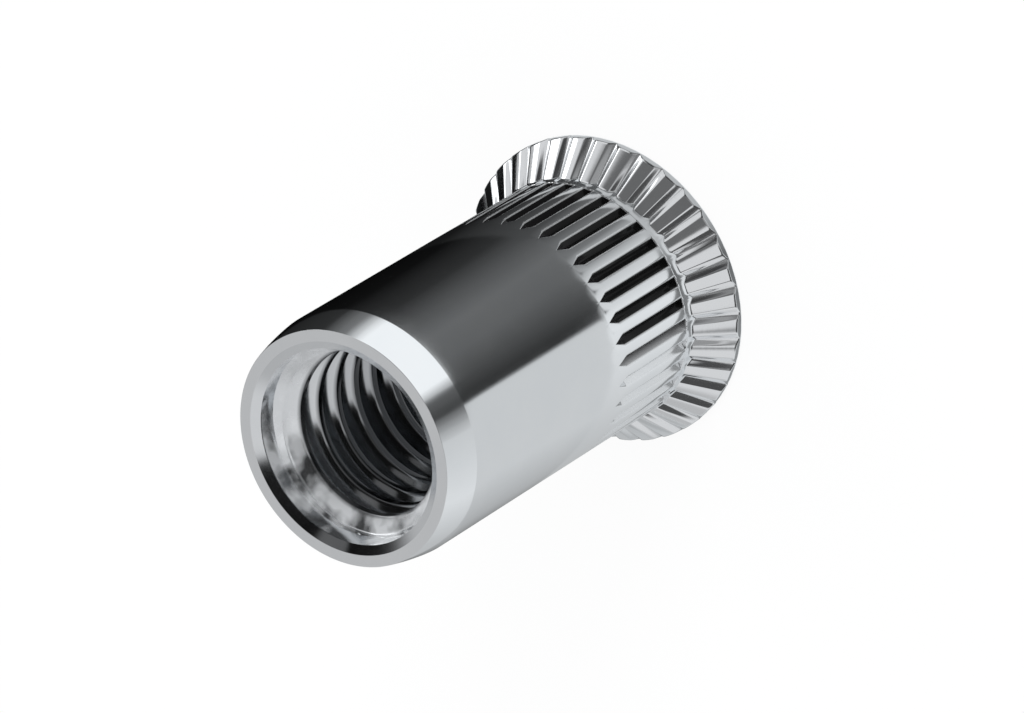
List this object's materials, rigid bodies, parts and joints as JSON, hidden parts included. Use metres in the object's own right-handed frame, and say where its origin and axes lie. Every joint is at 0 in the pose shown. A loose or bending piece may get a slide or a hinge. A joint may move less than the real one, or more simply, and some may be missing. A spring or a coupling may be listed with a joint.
{
  "type": "rivet nut",
  "caption": "Rivet nut with a serrated countersunk head, a knurled cylindrical body and an internal thread at the far end, set blind in sheet to give it a threaded hole.",
  "frame": {"origin": "centre of the flat outer face of the head, on which the nut stands", "axes": "+Z along the nut's axis, from the head towards the threaded end; one knurl groove lies on +X"},
  "size_m": [0.0162, 0.0162, 0.0227],
  "materials": {
    "zinc_plate": "bright zinc plate on steel"
  },
  "bodies": {
    "root": {"rivet_nut": "zinc_plate"}
  },
  "joints": []
}
